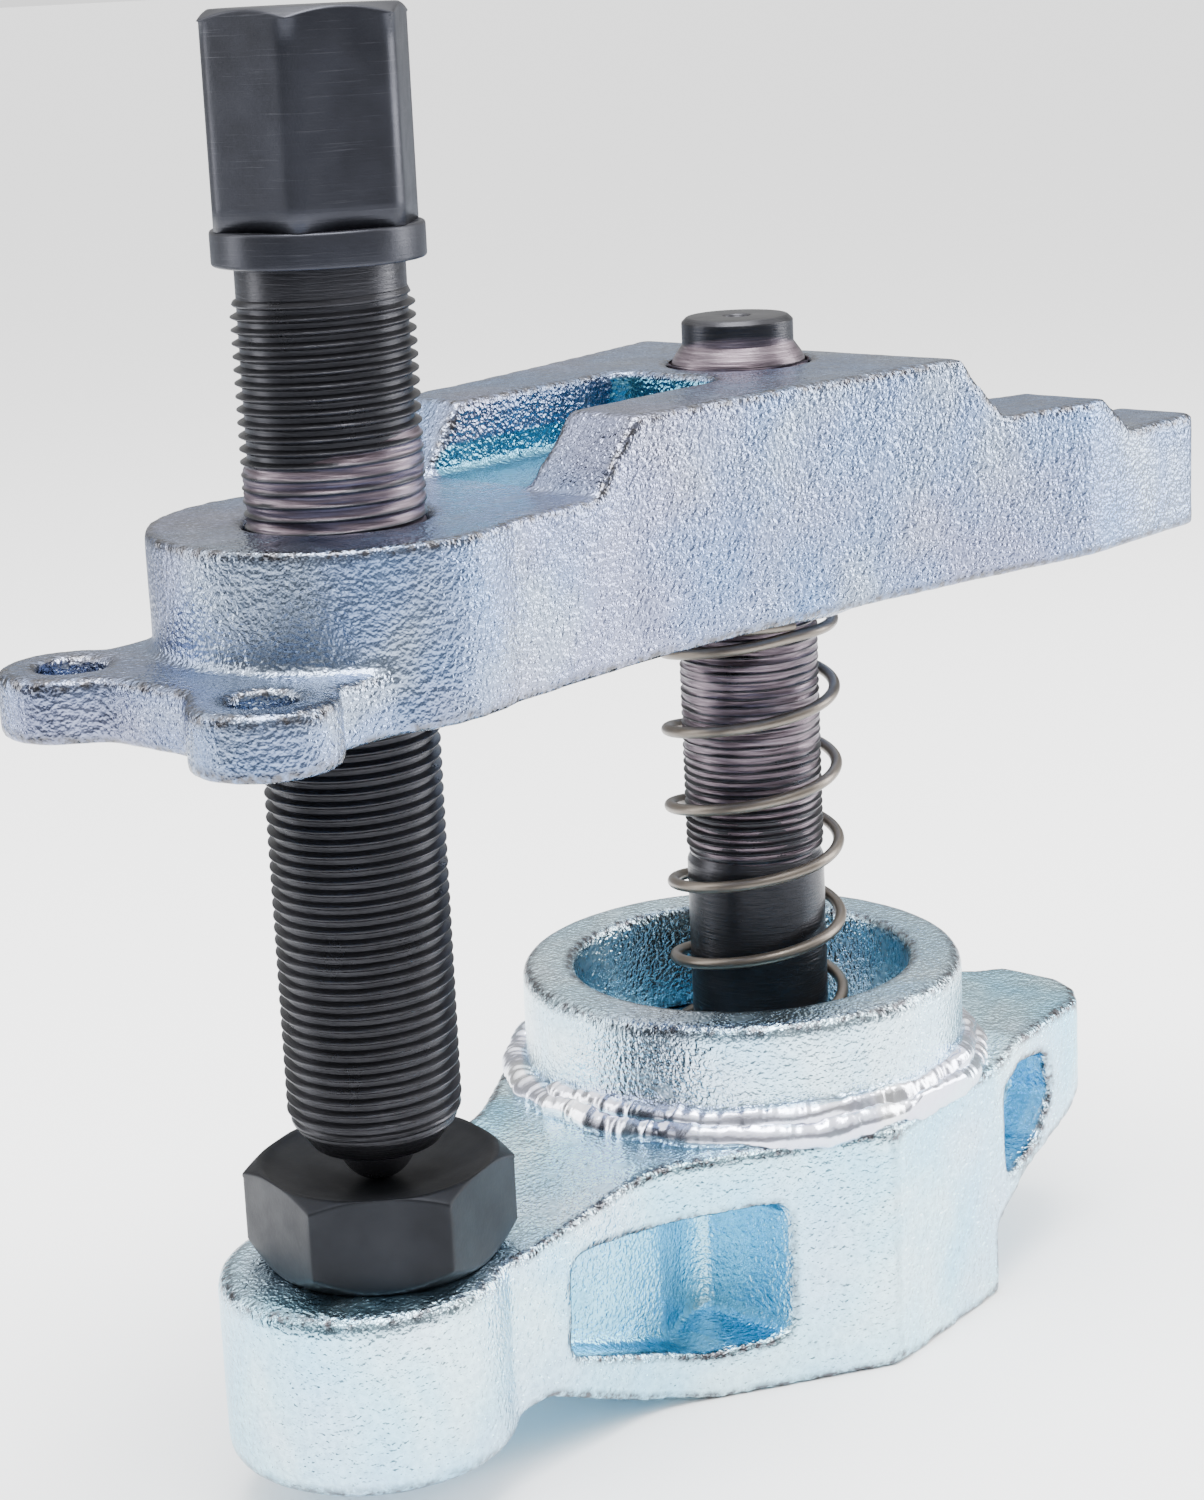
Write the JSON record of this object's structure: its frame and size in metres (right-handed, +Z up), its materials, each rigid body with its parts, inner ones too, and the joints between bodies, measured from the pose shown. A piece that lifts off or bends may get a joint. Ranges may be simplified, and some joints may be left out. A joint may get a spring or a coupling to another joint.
{
  "type": "screw-operated two-arm press",
  "caption": "Two zinc-coated forked arms on a sprung threaded rod, closed by a hexagon-headed thrust spindle that bears on a dished hexagon anvil.",
  "frame": {"origin": "on the tie rod's axis, in the plane of the lower arm's foot", "axes": "+Z up the tie rod towards the spindle's head, +X towards the forked jaws, Y across the arms"},
  "size_m": [0.2353, 0.0868, 0.237],
  "materials": {
    "zinc_casting_lower": "bright zinc over a shot-blasted casting, cool blue-green tint",
    "zinc_casting_upper": "bright zinc over a shot-blasted casting, lilac-blue tint",
    "zinc_ring": "bright zinc over a turned ring",
    "weld_bead": "zinc-plated weld bead",
    "black_oxide_anvil": "black oxide, oiled",
    "hardened_washer": "ground and hardened",
    "plain_washer": "zinc plated, dull",
    "black_oxide_rod": "black oxide with grease",
    "black_oxide_nut": "black oxide",
    "spring_steel_pin": "phosphated spring steel",
    "oiled_spring": "oiled spring wire, brown-grey",
    "black_oxide_spindle": "black oxide, satin",
    "hardened_nose": "hardened, polished"
  },
  "bodies": {
    "lower_frame": {"lower_arm": "zinc_casting_lower", "cup_ring": "zinc_ring", "ring_weld": "weld_bead", "anvil": "black_oxide_anvil", "seat_washer": "hardened_washer", "spring_washer": "plain_washer"},
    "rocker": {"ball_washer": "hardened_washer", "return_spring": "oiled_spring"},
    "tie_rod_body": {"tie_rod": "black_oxide_rod", "rod_nut": "black_oxide_nut", "rod_nut_pin": "spring_steel_pin"},
    "upper_arm_body": {"upper_arm": "zinc_casting_upper"},
    "nose_body": {"thrust_nose": "hardened_nose", "nose_clip": "spring_steel_pin"},
    "spindle_body": {"spindle": "black_oxide_spindle"}
  },
  "joints": [
    {"name": "arm_rock", "type": "hinge", "parent": "lower_frame", "child": "rocker", "pos_m": [0, 0, -0.0094], "axis": [0, 1, 0], "range_deg": [0, 4]},
    {"name": "rod_spin", "type": "hinge", "parent": "rocker", "child": "tie_rod_body", "pos_m": [0, 0, 0.05], "axis": [0, 0, 1], "range_deg": [-10, 9700]},
    {"name": "arm_slide", "type": "slide", "parent": "rocker", "child": "upper_arm_body", "axis": [0, 0, 1], "range_m": [-0.04, 0], "deforming": ["return_spring"]},
    {"name": "spindle_feed", "type": "slide", "parent": "rocker", "child": "nose_body", "axis": [0, 0, 1], "range_m": [0, 0.036]},
    {"name": "spindle_spin", "type": "hinge", "parent": "nose_body", "child": "spindle_body", "pos_m": [-0.0995, 0, 0.15], "axis": [0, 0, 1], "range_deg": [-10, 6500]}
  ],
  "couplings": [
    {"joint": "rod_spin", "follows": "arm_slide", "rad_per_m": -4188.8},
    {"joint": "spindle_spin", "follows": "spindle_feed", "rad_per_m": 3141.6}
  ]
}
